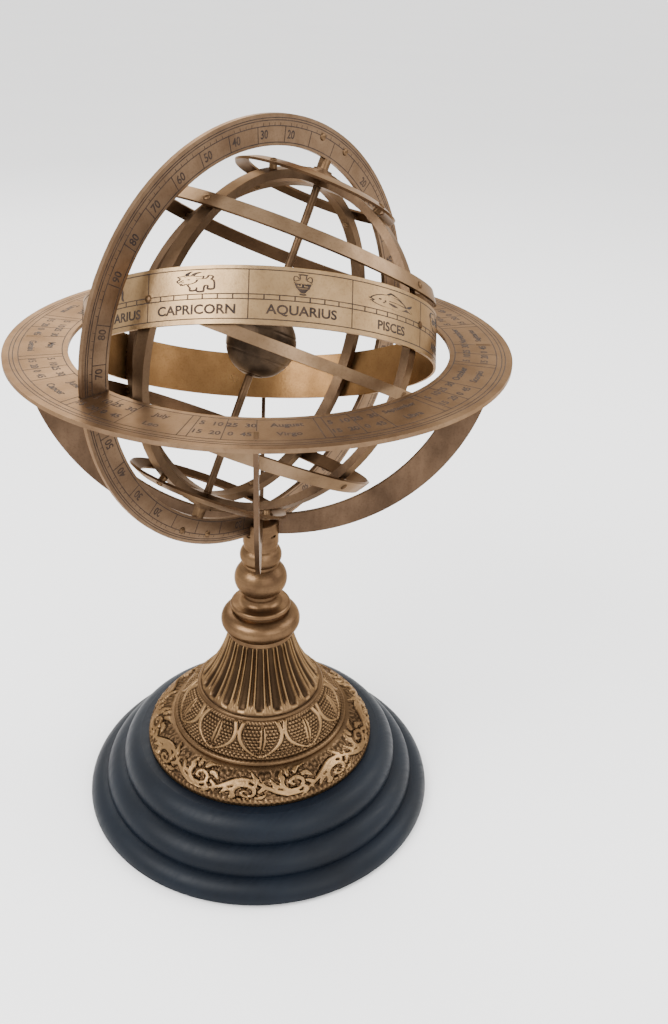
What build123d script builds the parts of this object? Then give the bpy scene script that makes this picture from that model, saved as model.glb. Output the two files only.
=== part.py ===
from build123d import *
from math import asin, cos, degrees, hypot, radians, sin, sqrt
import os

# Desktop armillary sphere, in millimetres. +Z is up, the origin is the middle of the pad's underside,
# and the meridian ring stands in the XZ plane with the north pole leaning towards +X.

# Clearances
seat_gap = 0.05  # between pieces of one body that seat on each other's curved faces
running_gap = 0.05  # radial, a turning pin in its bore
sliding_gap = 0.3  # between pieces that move past each other
bolt_gap = 0.2  # radial, the tie rod in the stem's bores
overcut = 1.0  # how far a cutter runs past the face it opens

# Pad and wood base: three turned rolls, stepped inwards, with a crease between each two
pad_r = 96.0
pad_t = 1.5
foot_r = 100.5
foot_chamfer = 1.0
low_crease_r = 90.5
low_crease_z = 12.0
high_crease_r = 79.5
high_crease_z = 23.5
low_roll_bulge = 2.8
middle_roll_bulge = 3.2
top_roll_bulge = 3.4
base_top_r = 70.0
base_top_z = 37.5

# Embossed foot: a thin spun shell
foot_rim_r = 65.0
foot_rim_h = 2.4
foot_bead_r = 48.5
foot_bead_z = 15.6
foot_bead_thickness = 1.8
foot_ring_r = 34.5
foot_ring_z = 35.0
foot_ring_thickness = 1.5
foot_neck_r = 17.5
foot_h = 70.5
foot_wall = 1.6
outer_band_bulge = 2.4
leaf_band_bulge = 1.8
flute_hollow = 2.2

# Turned stem
collar_r = 21.9
collar_tube_r = 6.4
collar_h = 16.5
collar_step_r = 18.0
collar_step_h = 2.4
disc_r = 16.5
disc_h = 3.5
disc_rounding = 0.4  # of its height
baluster_h = 38.0
baluster_foot_r = 12.0
cove_hollow = 1.2
neck_r = 9.1
fillet_r = 9.7
vase_r = 14.4
bead_r = 11.3
cove_top = 0.12  # these five are shares of the baluster's height
vase_low = 0.17
vase_high = 0.63
bead_low = 0.67
bead_high = 0.92

# Post head with its slots, and the shank that goes down into the baluster
post_r = 9.6
post_slot_floor_h = 6.7
post_top_h = 13.2
post_rounding = 1.2
shank_r = 5.0
shank_len = 22.0

# Tie rod, washer and nut, in a counterbore under the base
tie_r = 3.0
tie_thread_len = 16.0
tie_washer_r = 9.0
tie_washer_t = 1.5
tie_nut_flats = 10.0
tie_nut_h = 5.0
tie_stub = 1.5
counterbore_r = 11.0
counterbore_depth = 12.0

# Horizon ring and meridian ring, both with the same inner edge
horizon_rim_w = 16.0  # beyond the meridian ring's outer edge
horizon_t = 2.0
meridian_w = 13.5
meridian_t = 2.4
pole_tilt = 28.0  # degrees from upright

# Cradle arms: each edge is an arc whose centre stands out from the axis
arm_count = 4
arm_t = 2.0
arm_w = 11.5  # at the foot of the arm
arm_drop = 2.0  # below the meridian ring's outer edge
arm_outer_shift = 10.0
arm_inner_shift = 5.0
arm_tail_r = 4.4
arm_pin_r = 0.7
arm_pin_len = 8.4
arm_pin_height = 1.4
arm_pin_place = 7.2
tenon_len = 7.0

# Pivot brackets on the meridian ring's back
boss_r = 2.3
boss_h = 4.7
bracket_t = 1.3
bracket_len = 24.0
bracket_inner_margin = 3.5  # from the ring's inner edge to the plate
bracket_outer_margin = 2.5
bracket_rivet_place = 9.0
bracket_rivet_rise = 8.0  # from the ring's inner edge
bracket_rivet_r = 1.0
rivet_head_r = 1.7
rivet_head_h = 0.7

# Sphere: colures inside, the equator and then the zodiac round them, and the other bands outside
colure_outer_r = 81.4
colure_depth = 4.0
colure_w = 6.0
equinox_turn = 6.5  # degrees about the polar axis, from the meridian ring
obliquity = 22.0
zodiac_t = 1.2
zodiac_w = 24.0
band_gap = 0.25  # from the zodiac out to the tropic and polar bands
band_t = 1.2
equator_w = 5.0
tropic_w = 7.0
polar_w = 6.5
tropic_latitude = 34.2
polar_latitude = 64.0
rivet_r = 0.9
collar_ring_r = 1.8
ball_r = 17.0
rod_r = 1.9
pivot_pin_r = 1.2
cap_steps = [(12.0, 1.2), (8.0, 1.2), (4.6, 1.6)]  # radius and height of each step, from the sphere outwards
thrust_gap = 0.3

# Heights that follow from the stack
foot_base_z = base_top_z
collar_z = foot_base_z + foot_h
disc_z = collar_z + collar_h
baluster_z = disc_z + disc_h
post_z = baluster_z + baluster_h
slot_floor_z = post_z + post_slot_floor_h

# Radii from the colures outwards
colure_inner_r = colure_outer_r - colure_depth
equator_inner_r = hypot(colure_outer_r, colure_w / 2) + seat_gap
equator_outer_r = equator_inner_r + band_t
zodiac_inner_r = equator_outer_r + seat_gap
zodiac_outer_r = zodiac_inner_r + zodiac_t
band_inner_r = zodiac_outer_r + band_gap
cap_top = colure_outer_r + seat_gap + sum(height for radius, height in cap_steps)
bracket_inner = cap_top + thrust_gap
meridian_inner_r = bracket_inner + boss_h + seat_gap
meridian_outer_r = meridian_inner_r + meridian_w
horizon_outer_r = meridian_outer_r + horizon_rim_w
arm_outer_r = meridian_outer_r + arm_drop
arm_inner_r = arm_outer_r - arm_w
bracket_low = meridian_inner_r + bracket_inner_margin
bracket_high = meridian_outer_r - bracket_outer_margin
bracket_rivet_ring_r = meridian_inner_r + bracket_rivet_rise
centre_z = slot_floor_z + sliding_gap + meridian_outer_r

bracket_rivet_front = -(meridian_t / 2 + seat_gap)
bracket_rivet_back = meridian_t / 2 + 2 * seat_gap + bracket_t
arm_bottom_z = centre_z - arm_outer_r
arm_slot_floor_z = arm_bottom_z - seat_gap
arm_pin_z = arm_bottom_z + arm_pin_height

CENTRE = Vector(0, 0, centre_z)
POLAR = Plane(
    origin=CENTRE,
    x_dir=(cos(radians(pole_tilt)), 0, -sin(radians(pole_tilt))),
    z_dir=(sin(radians(pole_tilt)), 0, cos(radians(pole_tilt))),
)
colure_turns = [equinox_turn + 90 * i for i in range(4)]
solstice_turn = equinox_turn + 90


def turned(*edges):
    """A solid of revolution about Z from a closed outline in the XZ plane."""
    return revolve(make_face(Wire(list(edges))), Axis.Z)


def bulged(start, end, bulge):
    """An arc between two (radius, height) points, swelling to its right by bulge."""
    dx = end[0] - start[0]
    dz = end[1] - start[1]
    length = hypot(dx, dz)
    middle = (
        (start[0] + end[0]) / 2 + bulge * dz / length,
        (start[1] + end[1]) / 2 - bulge * dx / length,
    )
    return ThreePointArc(
        (start[0], 0, start[1]), (middle[0], 0, middle[1]), (end[0], 0, end[1])
    )


def line(start, end):
    return Line((start[0], 0, start[1]), (end[0], 0, end[1]))


def upright(radius, low, high):
    """A plain cylinder about Z from one height to another."""
    return Pos(0, 0, low) * Cylinder(
        radius, high - low, align=(Align.CENTER, Align.CENTER, Align.MIN)
    )


def radial_pin(radius, inner, outer, turn, latitude):
    """A pin along a radius of the sphere, in the polar frame."""
    place = Rot(0, 0, turn) * Rot(0, 90 - latitude, 0)
    return place * upright(radius, inner, outer)


# Stand


def felt_pad():
    return upright(pad_r, 0, pad_t)


def wood_base():
    start = (foot_r - foot_chamfer, pad_t)
    foot = (foot_r, pad_t + foot_chamfer)
    low = (low_crease_r, low_crease_z)
    high = (high_crease_r, high_crease_z)
    top = (base_top_r, base_top_z)
    body = turned(
        line((0, pad_t), start),
        line(start, foot),
        bulged(foot, low, low_roll_bulge),
        bulged(low, high, middle_roll_bulge),
        bulged(high, top, top_roll_bulge),
        line(top, (0, base_top_z)),
        line((0, base_top_z), (0, pad_t)),
    )
    body -= upright(tie_r + bolt_gap, pad_t, base_top_z)
    return body - upright(counterbore_r, pad_t, pad_t + counterbore_depth)


def foot_profile(inset):
    """The foot's outline from rim to neck, moved inwards by inset, as edges with their end points."""
    rim = (foot_rim_r - inset, foot_base_z)
    rim_top = (foot_rim_r - inset, foot_base_z + foot_rim_h)
    bead = (foot_bead_r - inset, foot_base_z + foot_bead_z - inset)
    ring = (foot_ring_r - inset, foot_base_z + foot_ring_z - inset)
    neck = (foot_neck_r - inset, foot_base_z + foot_h)
    edges = [
        line(rim, rim_top),
        bulged(rim_top, bead, outer_band_bulge),
        bulged(bead, ring, leaf_band_bulge),
        bulged(ring, neck, -flute_hollow),
    ]
    return rim, neck, edges


def embossed_foot():
    rim, neck, edges = foot_profile(0)
    solid = turned(
        line((0, rim[1]), rim), *edges, line(neck, (0, neck[1])), line((0, neck[1]), (0, rim[1]))
    )
    for radius, height, thickness in [
        (foot_bead_r, foot_bead_z, foot_bead_thickness),
        (foot_ring_r, foot_ring_z, foot_ring_thickness),
    ]:
        solid += Pos(0, 0, foot_base_z + height) * Torus(radius, thickness)
    rim, neck, edges = foot_profile(foot_wall)
    hollow = turned(
        line((0, rim[1]), rim), *edges, line(neck, (0, neck[1])), line((0, neck[1]), (0, rim[1]))
    )
    hollow -= upright(foot_rim_r, collar_z - foot_wall, collar_z)
    solid -= hollow
    return solid - upright(tie_r + bolt_gap, foot_base_z, collar_z)


def stem_collar():
    tube = collar_r - collar_tube_r
    body = upright(tube, collar_z, disc_z) + upright(collar_step_r, collar_z, collar_z + collar_step_h)
    body += Pos(0, 0, collar_z + collar_step_h + collar_tube_r) * Torus(tube, collar_tube_r)
    return body - upright(tie_r + bolt_gap, collar_z, disc_z)


def stem_disc():
    body = upright(disc_r, disc_z, baluster_z)
    body = fillet(body.edges().filter_by(GeomType.CIRCLE), disc_h * disc_rounding)
    return body - upright(tie_r + bolt_gap, disc_z, baluster_z)


def baluster():
    foot = (baluster_foot_r, baluster_z)
    cove = (neck_r, baluster_z + cove_top * baluster_h)
    vase = (neck_r, baluster_z + vase_low * baluster_h)
    vase_top = (fillet_r, baluster_z + vase_high * baluster_h)
    bead = (fillet_r, baluster_z + bead_low * baluster_h)
    bead_top = (neck_r, baluster_z + bead_high * baluster_h)
    top = (neck_r, post_z)
    body = turned(
        line((0, baluster_z), foot),
        bulged(foot, cove, -cove_hollow),
        line(cove, vase),
        bulged(vase, vase_top, vase_r - (neck_r + fillet_r) / 2),
        line(vase_top, bead),
        bulged(bead, bead_top, bead_r - (neck_r + fillet_r) / 2),
        line(bead_top, top),
        line(top, (0, post_z)),
        line((0, post_z), (0, baluster_z)),
    )
    body -= upright(tie_r + bolt_gap, baluster_z, post_z)
    return body - upright(shank_r + seat_gap, post_z - shank_len - seat_gap, post_z)


def stem_post():
    body = upright(post_r, post_z, post_z + post_top_h)
    body = fillet(body.edges().filter_by(GeomType.CIRCLE).sort_by(Axis.Z)[-1], post_rounding)
    body += upright(shank_r, post_z - shank_len, post_z)
    body -= upright(tie_r + seat_gap, post_z - shank_len, post_z - shank_len + tie_thread_len)
    slot_h = post_top_h - post_slot_floor_h
    body -= Pos(0, 0, slot_floor_z + slot_h / 2) * Box(
        3 * post_r, meridian_t + 2 * sliding_gap, slot_h
    )
    arm_slot_h = post_z + post_top_h - arm_slot_floor_z
    arm_slot = Pos((arm_tail_r - seat_gap) + post_r, 0, arm_slot_floor_z + arm_slot_h / 2) * Box(
        2 * post_r, arm_t + 2 * seat_gap, arm_slot_h
    )
    for turn in arm_turns():
        body -= Rot(0, 0, turn) * arm_slot
        body -= arm_pin_hole(turn)
    return body


def arm_turns():
    return [45 + 360 / arm_count * i for i in range(arm_count)]


def arm_pin(turn, radius, length):
    """A pin across one arm's tail, square to the arm."""
    pin = Rot(90, 0, 0) * Cylinder(radius, length)
    return Rot(0, 0, turn) * Pos(arm_pin_place, 0, arm_pin_z) * pin


def arm_pin_hole(turn):
    """Drilled right across the post, so the pin's ends lie a little below the post's face."""
    return arm_pin(turn, arm_pin_r + seat_gap, 2 * post_r)


def arm_pins():
    return [arm_pin(turn, arm_pin_r, arm_pin_len) for turn in arm_turns()]


def cradle_arm(turn):
    """A flat plate in an upright plane, from the post's slot to the horizon ring's underside."""
    top_z = centre_z - horizon_t / 2
    outer = Pos(arm_outer_shift, 0, centre_z) * Rot(90, 0, 0) * Cylinder(arm_outer_r, arm_t)
    inner = Pos(arm_inner_shift, 0, centre_z) * Rot(90, 0, 0) * Cylinder(arm_inner_r, 2 * arm_t)
    reach = arm_outer_shift + arm_outer_r
    quarter = Pos((arm_tail_r + reach) / 2, 0, top_z - reach / 2) * Box(
        reach - arm_tail_r, arm_t, reach
    )
    tail = Pos((arm_tail_r + arm_outer_shift) / 2, 0, 0) * Box(
        arm_outer_shift - arm_tail_r, arm_t, arm_outer_r - arm_inner_r,
        align=(Align.CENTER, Align.CENTER, Align.MIN),
    )
    plate = (outer & quarter) - inner
    plate += Pos(0, 0, arm_bottom_z) * tail
    plate += Pos(arm_top_middle(), 0, top_z + horizon_t / 2) * Box(tenon_len, arm_t, horizon_t)
    return Rot(0, 0, turn) * plate - arm_pin_hole(turn)


def arm_top_middle():
    return (arm_outer_shift + arm_outer_r + arm_inner_shift + arm_inner_r) / 2


def horizon_ring():
    body = Pos(0, 0, centre_z) * (
        Cylinder(horizon_outer_r, horizon_t) - Cylinder(meridian_inner_r, 2 * horizon_t)
    )
    notch_reach = 2 * (meridian_outer_r + sliding_gap)
    body -= Pos(0, 0, centre_z) * Box(notch_reach, meridian_t + 2 * sliding_gap, 2 * horizon_t)
    for turn in arm_turns():
        slot = Box(tenon_len + 2 * seat_gap, arm_t + 2 * seat_gap, 2 * horizon_t)
        body -= Rot(0, 0, turn) * Pos(arm_top_middle(), 0, centre_z) * slot
    return body


def tie_rod():
    return upright(tie_r, tie_low_z(), post_z - shank_len + tie_thread_len)


def tie_low_z():
    return pad_t + counterbore_depth - tie_washer_t - tie_nut_h - tie_stub


def tie_washer():
    top = pad_t + counterbore_depth
    ring = upright(tie_washer_r, top - tie_washer_t, top)
    return ring - upright(tie_r + bolt_gap, top - tie_washer_t, top)


def tie_nut():
    top = pad_t + counterbore_depth - tie_washer_t
    hexagon = RegularPolygon(tie_nut_flats / 2, 6, major_radius=False)
    nut = Pos(0, 0, top - tie_nut_h) * extrude(hexagon, tie_nut_h)
    return nut - upright(tie_r + seat_gap, top - tie_nut_h, top)


# Meridian ring and its pivot brackets


def meridian_ring():
    ring = Cylinder(meridian_outer_r, meridian_t) - Cylinder(meridian_inner_r, 2 * meridian_t)
    ring = Location(CENTRE) * Rot(90, 0, 0) * ring
    for sign in (1, -1):
        for hole in bracket_rivet_shafts(sign, bracket_rivet_r + seat_gap):
            ring -= hole
    return ring


def at_pole(sign, shape):
    """Places a shape that is drawn on the north pole's axis at the north (1) or south (-1) pole."""
    turned_over = shape if sign > 0 else Rot(180, 0, 0) * Rot(0, 0, 180) * shape
    return POLAR.location * turned_over


def bracket_rivet_places():
    turn = degrees(asin(bracket_rivet_place / bracket_rivet_ring_r))
    return [Rot(0, side * turn, 0) * Pos(0, 0, bracket_rivet_ring_r) for side in (1, -1)]


def across_ring(radius, front, back):
    """A round piece square to the meridian ring, from one distance along Y to another."""
    return Pos(0, (front + back) / 2, 0) * Rot(90, 0, 0) * Cylinder(radius, back - front)


def bracket_rivet_shafts(sign, radius):
    shaft = across_ring(radius, bracket_rivet_front, bracket_rivet_back)
    return [at_pole(sign, place * shaft) for place in bracket_rivet_places()]


def pivot_bracket(sign):
    """A plate on the ring's back, with a boss under the ring's inner edge that the pole turns in."""
    back = meridian_t / 2 + seat_gap
    boss_top = meridian_inner_r - seat_gap
    boss = upright(boss_r, bracket_inner, boss_top)
    bridge_w = back + bracket_t
    bridge = Pos(0, bridge_w / 2, (bracket_inner + boss_top) / 2) * Box(
        2 * boss_r, bridge_w, boss_top - bracket_inner
    )
    plate = Pos(0, back + bracket_t / 2, (bracket_low + bracket_high) / 2) * Box(
        bracket_len, bracket_t, bracket_high - bracket_low
    )
    leg = Pos(0, back + bracket_t / 2, (bracket_inner + bracket_low) / 2) * Box(
        2 * boss_r, bracket_t, bracket_low - bracket_inner
    )
    bore = upright(pivot_pin_r + running_gap, bracket_inner - overcut, boss_top + overcut)
    body = at_pole(sign, boss + bridge + plate + leg - bore)
    for hole in bracket_rivet_shafts(sign, bracket_rivet_r + seat_gap):
        body -= hole
    return body


def pivot_rivets():
    """Two rivets to each bracket, with a low head on the ring's face and on the plate's back."""
    rivets = []
    for sign in (1, -1):
        for place in bracket_rivet_places():
            piece = across_ring(bracket_rivet_r, bracket_rivet_front, bracket_rivet_back)
            piece += across_ring(
                rivet_head_r, bracket_rivet_front - rivet_head_h, bracket_rivet_front
            )
            piece += across_ring(rivet_head_r, bracket_rivet_back, bracket_rivet_back + rivet_head_h)
            rivets.append(at_pole(sign, place * piece))
    return rivets


# Sphere, drawn upright in the polar frame and then tilted


def zone(latitude, width, inner_r, thickness):
    """A band that lies on a sphere, at a latitude, with its width measured over the surface."""
    half = width / 2 / (inner_r + thickness / 2)
    low = radians(latitude) - half
    high = radians(latitude) + half
    middle = radians(latitude)

    def place(radius, angle):
        return Vector(radius * cos(angle), 0, radius * sin(angle))

    outer_r = inner_r + thickness
    return turned(
        Line(place(inner_r, low), place(outer_r, low)),
        ThreePointArc(place(outer_r, low), place(outer_r, middle), place(outer_r, high)),
        Line(place(outer_r, high), place(inner_r, high)),
        ThreePointArc(place(inner_r, high), place(inner_r, middle), place(inner_r, low)),
    )


def band_crossings():
    """Turn and latitude of each place where a tropic or polar band crosses a colure."""
    latitudes = (tropic_latitude, -tropic_latitude, polar_latitude, -polar_latitude)
    return [(turn, latitude) for latitude in latitudes for turn in colure_turns]


def equator_crossings():
    """The first and third are the equinoxes, where the zodiac lies over the equator."""
    return [(turn, 0) for turn in colure_turns]


def zodiac_crossings():
    return [(solstice_turn, -obliquity), (solstice_turn + 180, obliquity)]


def rivet_holes(shape, crossings):
    for crossing in crossings:
        shape -= radial_pin(
            rivet_r + seat_gap,
            colure_inner_r - overcut,
            band_inner_r + band_t + overcut,
            crossing[0],
            crossing[1],
        )
    return shape


def rod_hole():
    return upright(rod_r + seat_gap, -2 * colure_outer_r, 2 * colure_outer_r)


def colure(turn, keeps_outer):
    """A flat-sided hoop through both poles, halved where it crosses the other one."""
    hoop = Cylinder(colure_outer_r, colure_w) - Cylinder(colure_inner_r, 2 * colure_w)
    hoop = Rot(0, 0, turn) * Rot(90, 0, 0) * hoop
    lap_r = colure_outer_r - colure_depth / 2
    edge_r = sqrt(colure_inner_r**2 - (colure_w / 2) ** 2)
    low = edge_r - colure_depth if keeps_outer else lap_r - seat_gap
    high = lap_r + seat_gap if keeps_outer else colure_outer_r + colure_depth
    for sign in (1, -1):
        lap = Box(colure_w + 2 * seat_gap, colure_w + 2 * seat_gap, high - low)
        hoop -= Rot(0, 0, turn) * Pos(0, 0, sign * (low + high) / 2) * lap
    hoop -= rod_hole()
    turns = (turn % 360, (turn + 180) % 360)
    crossings = band_crossings() + equator_crossings() + zodiac_crossings()
    mine = [c for c in crossings if c[0] % 360 in turns]
    return POLAR.location * rivet_holes(hoop, mine)


def latitude_band(latitude, width, inner_r):
    band = zone(latitude, width, inner_r, band_t)
    mine = [c for c in band_crossings() + equator_crossings() if c[1] == latitude]
    return POLAR.location * rivet_holes(band, mine)


def zodiac_band():
    band = Cylinder(zodiac_outer_r, zodiac_w) - Cylinder(zodiac_inner_r, 2 * zodiac_w)
    band = Rot(0, 0, solstice_turn) * Rot(0, obliquity, 0) * band
    return POLAR.location * rivet_holes(band, equator_crossings()[::2] + zodiac_crossings())


def rivet(turn, latitude, outer):
    """A rivet from inside a colure out along a radius, with a low round head at each end."""
    low = colure_inner_r - seat_gap
    high = outer + seat_gap
    piece = radial_pin(rivet_r, low, high, turn, latitude)
    piece += radial_pin(rivet_head_r, high, high + rivet_head_h, turn, latitude)
    return piece + radial_pin(rivet_head_r, low - rivet_head_h, low, turn, latitude)


def band_rivets():
    """Rivets through each colure and each latitude band; at the equinoxes they hold the zodiac too."""
    rivets = []
    for turn, latitude in band_crossings():
        piece = rivet(turn, latitude, band_inner_r + band_t)
        rivets.append(POLAR.location * (piece + spacer(turn, latitude, band_inner_r)))
    for index, (turn, latitude) in enumerate(equator_crossings()):
        outer = equator_outer_r if index % 2 else zodiac_outer_r
        rivets.append(POLAR.location * rivet(turn, latitude, outer))
    return rivets


def spacer(turn, latitude, outer):
    """A collar on a rivet, from a colure out to a band that stands off it."""
    gap = flat_end_gap()
    return radial_pin(collar_ring_r, colure_outer_r + gap, outer - gap, turn, latitude)


def flat_end_gap():
    """How far a flat-ended spacer stays from the curved faces at its two ends."""
    sagitta = band_inner_r - sqrt(band_inner_r**2 - collar_ring_r**2)
    return sagitta + seat_gap


def zodiac_rivets():
    """Rivets through the colure and the zodiac at the solstices."""
    rivets = []
    for turn, latitude in zodiac_crossings():
        piece = rivet(turn, latitude, zodiac_outer_r) + spacer(turn, latitude, zodiac_inner_r)
        rivets.append(POLAR.location * piece)
    return rivets


def polar_rod():
    """The rod from colure to colure, turned down at each end to the pivot pin."""
    pin_end = meridian_inner_r - 2 * seat_gap
    rod = upright(rod_r, -colure_outer_r, colure_outer_r)
    return POLAR.location * (rod + upright(pivot_pin_r, -pin_end, pin_end))


def earth_ball():
    ball = Sphere(ball_r) - upright(rod_r + seat_gap, -ball_r, ball_r)
    return POLAR.location * ball


def pole_cap(sign):
    """A stepped disc on the outer colure, with the pivot pin through it."""
    low = colure_outer_r + seat_gap
    cap = None
    for radius, height in cap_steps:
        step = upright(radius, low, low + height)
        cap = step if cap is None else cap + step
        low += height
    return at_pole(sign, cap - upright(pivot_pin_r + seat_gap, colure_outer_r, low + overcut))


nodes = {
    "felt_pad": felt_pad(),
    "wood_base": wood_base(),
    "tie_nut": tie_nut(),
    "tie_washer": tie_washer(),
    "tie_rod": tie_rod(),
    "embossed_foot": embossed_foot(),
    "stem_collar": stem_collar(),
    "stem_disc": stem_disc(),
    "baluster": baluster(),
    "stem_post": stem_post(),
    "arm_pins": Compound(arm_pins()),
    "horizon_ring": horizon_ring(),
    "meridian_ring": meridian_ring(),
    "north_pivot_bracket": pivot_bracket(1),
    "south_pivot_bracket": pivot_bracket(-1),
    "pivot_rivets": Compound(pivot_rivets()),
    "polar_rod": polar_rod(),
    "earth_ball": earth_ball(),
    "north_pole_cap": pole_cap(1),
    "south_pole_cap": pole_cap(-1),
    "equinoctial_colure": colure(equinox_turn, False),
    "solstitial_colure": colure(solstice_turn, True),
    "equator_band": latitude_band(0, equator_w, equator_inner_r),
    "north_tropic_band": latitude_band(tropic_latitude, tropic_w, band_inner_r),
    "south_tropic_band": latitude_band(-tropic_latitude, tropic_w, band_inner_r),
    "north_polar_band": latitude_band(polar_latitude, polar_w, band_inner_r),
    "south_polar_band": latitude_band(-polar_latitude, polar_w, band_inner_r),
    "zodiac_band": zodiac_band(),
    "band_rivets": Compound(band_rivets()),
    "zodiac_rivets": Compound(zodiac_rivets()),
}
for number, turn in enumerate(arm_turns(), 1):
    nodes[f"cradle_arm_{number}"] = cradle_arm(turn)

os.makedirs("parts", exist_ok=True)
for name, shape in nodes.items():
    export_step(shape, f"parts/{name}.step")
print("top of the meridian ring", centre_z + meridian_outer_r)
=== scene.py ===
import bisect
import math
import random

import bpy
from mathutils import Matrix, Vector, noise


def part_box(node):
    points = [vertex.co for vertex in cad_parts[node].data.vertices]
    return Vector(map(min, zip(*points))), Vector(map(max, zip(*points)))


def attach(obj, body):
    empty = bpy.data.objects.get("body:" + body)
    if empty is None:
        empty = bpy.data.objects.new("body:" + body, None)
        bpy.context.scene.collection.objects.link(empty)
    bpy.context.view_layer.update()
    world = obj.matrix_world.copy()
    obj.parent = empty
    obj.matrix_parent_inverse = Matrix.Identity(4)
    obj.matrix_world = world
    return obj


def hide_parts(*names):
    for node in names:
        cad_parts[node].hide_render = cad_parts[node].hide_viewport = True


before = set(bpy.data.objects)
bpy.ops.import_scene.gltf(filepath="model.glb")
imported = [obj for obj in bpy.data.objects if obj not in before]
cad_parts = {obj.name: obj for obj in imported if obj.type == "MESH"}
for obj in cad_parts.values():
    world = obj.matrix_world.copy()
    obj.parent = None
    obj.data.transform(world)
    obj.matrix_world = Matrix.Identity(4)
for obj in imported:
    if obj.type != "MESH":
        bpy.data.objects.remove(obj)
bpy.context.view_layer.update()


# Studio: a wide pale floor, soft boxes on four sides, and a camera that looks a little down on the rings.
# The bright air gives most of the light, so the brass mirrors a plain pale room.
studio_size = 60.0
studio_drop = 0.0003  # the floor lies this far under the felt
camera_place = (-0.3305, -0.3422, 0.4499)
camera_turn = math.radians(-48.63)
camera_dip = math.radians(29.16)
camera_roll = math.radians(2.38)
camera_lens = 36.4
soft_boxes = [
    # name, place, width, power in watts
    ("key", (-1.05, 0.10, 1.15), 0.9, 34),
    ("front", (-0.25, -1.35, 0.75), 1.0, 13),
    ("right", (0.95, -0.75, 0.95), 0.8, 13),
    ("back", (0.55, 1.15, 1.05), 0.9, 12),
]
lit_place = (0, 0, 0.2)  # the soft boxes face this way
floor_pale = (0.86, 0.86, 0.87, 1)
floor_bright = (0.9, 0.9, 0.9, 1)
floor_patch = 0.4
air_colour = (1.0, 0.99, 0.975, 1)
air_strength = 2.0


def clear_selection():
    bpy.ops.object.select_all(action="DESELECT")


def new_finish(name, metallic=0.0, roughness=0.5):
    """A material with its node lists and shader."""
    finish = bpy.data.materials.new(name)
    finish.use_nodes = True
    nodes = finish.node_tree.nodes
    shader = nodes["Principled BSDF"]
    shader.inputs["Metallic"].default_value = metallic
    shader.inputs["Roughness"].default_value = roughness
    return finish, nodes, finish.node_tree.links, shader


def speckle(nodes, links, size, detail=4.0, stretch=(1, 1, 1)):
    """Noise over the piece's own coordinates, with grains of a size in metres."""
    place = nodes.new("ShaderNodeTexCoord")
    spread = nodes.new("ShaderNodeMapping")
    spread.inputs["Scale"].default_value = stretch
    grains = nodes.new("ShaderNodeTexNoise")
    grains.inputs["Scale"].default_value = 1 / size
    grains.inputs["Detail"].default_value = detail
    links.new(place.outputs["Object"], spread.inputs["Vector"])
    links.new(spread.outputs["Vector"], grains.inputs["Vector"])
    return grains.outputs["Fac"]


def graded(nodes, links, source, stops):
    """Colours along a 0 to 1 value."""
    ramp = nodes.new("ShaderNodeValToRGB")
    points = ramp.color_ramp.elements
    while len(points) < len(stops):
        points.new(0.5)
    for point, (position, colour) in zip(points, stops):
        point.position = position
        point.color = colour
    links.new(source, ramp.inputs["Fac"])
    return ramp.outputs["Color"]


def mixed(nodes, links, blend, share, first, second):
    """Two colours together; share is a number or another node's value."""
    mix = nodes.new("ShaderNodeMix")
    mix.data_type = "RGBA"
    mix.blend_type = blend
    if isinstance(share, (int, float)):
        mix.inputs["Factor"].default_value = share
    else:
        links.new(share, mix.inputs["Factor"])
    links.new(first, mix.inputs[6])  # the node's colour sockets
    links.new(second, mix.inputs[7])
    return mix.outputs[2]


def ranged(nodes, links, source, low, high):
    """Spreads the middle of a noise, where nearly all of its values lie, over a range."""
    span = nodes.new("ShaderNodeMapRange")
    span.inputs["From Min"].default_value = 0.3
    span.inputs["From Max"].default_value = 0.7
    span.inputs["To Min"].default_value = low
    span.inputs["To Max"].default_value = high
    links.new(source, span.inputs["Value"])
    return span.outputs["Result"]


def roughened(nodes, links, shader, source, depth):
    """Lifts the surface by a noise, in metres."""
    bump = nodes.new("ShaderNodeBump")
    bump.inputs["Strength"].default_value = 1.0
    bump.inputs["Distance"].default_value = depth
    links.new(source, bump.inputs["Height"])
    links.new(bump.outputs["Normal"], shader.inputs["Normal"])


floor_finish, nodes, links, shader = new_finish("studio_floor", roughness=0.75)
patches = speckle(nodes, links, floor_patch)
links.new(
    graded(nodes, links, patches, [(0.0, floor_pale), (1.0, floor_bright)]), shader.inputs["Base Color"]
)
clear_selection()
bpy.ops.mesh.primitive_plane_add(size=studio_size, location=(0, 0, -studio_drop))
studio_floor = bpy.context.object
studio_floor.name = "studio_floor"
studio_floor.data.materials.append(floor_finish)

for name, place, width, power in soft_boxes:
    bpy.ops.object.light_add(type="AREA", location=place)
    soft_box = bpy.context.object
    soft_box.name = f"soft_box_{name}"
    soft_box.data.size = width
    soft_box.data.energy = power
    aim = Vector(lit_place) - Vector(place)
    soft_box.rotation_euler = aim.to_track_quat("-Z", "Y").to_euler()

world = bpy.data.worlds.new("studio_air")
world.use_nodes = True
air = world.node_tree.nodes["Background"]
air.inputs["Color"].default_value = air_colour
air.inputs["Strength"].default_value = air_strength
bpy.context.scene.world = world

bpy.ops.object.camera_add(location=camera_place)
camera = bpy.context.object
camera.data.lens = camera_lens
camera.rotation_euler = (
    Matrix.Rotation(camera_turn, 4, "Z")
    @ Matrix.Rotation(math.radians(90) - camera_dip, 4, "X")
    @ Matrix.Rotation(camera_roll, 4, "Z")
).to_euler()
bpy.context.scene.camera = camera


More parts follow.
